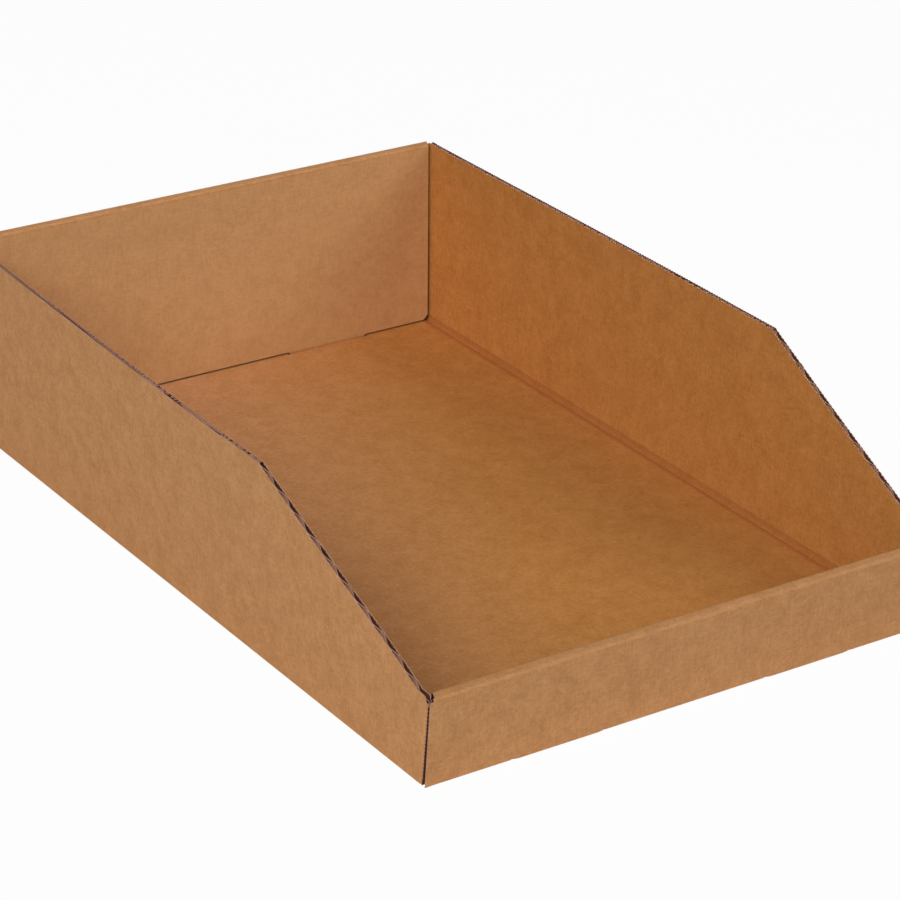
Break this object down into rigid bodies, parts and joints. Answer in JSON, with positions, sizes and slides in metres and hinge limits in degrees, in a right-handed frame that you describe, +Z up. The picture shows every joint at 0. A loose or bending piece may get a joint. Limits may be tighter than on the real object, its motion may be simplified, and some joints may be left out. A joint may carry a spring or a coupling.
{
  "type": "corrugated bin box",
  "caption": "Open-top storage bin folded from a sheet of corrugated board, with a low front, sloping side walls, and rolled front and back walls locked into the floor by tabs.",
  "frame": {"origin": "middle of the underside of the floor", "axes": "+Z up, front wall facing -Y, width along X, depth along Y"},
  "size_m": [0.3171, 0.4572, 0.1143],
  "materials": {
    "kraft_board": "uncoated brown kraft liner, matte, faintly mottled with fibres"
  },
  "bodies": {
    "root": {"bin_box": "kraft_board"}
  },
  "joints": []
}
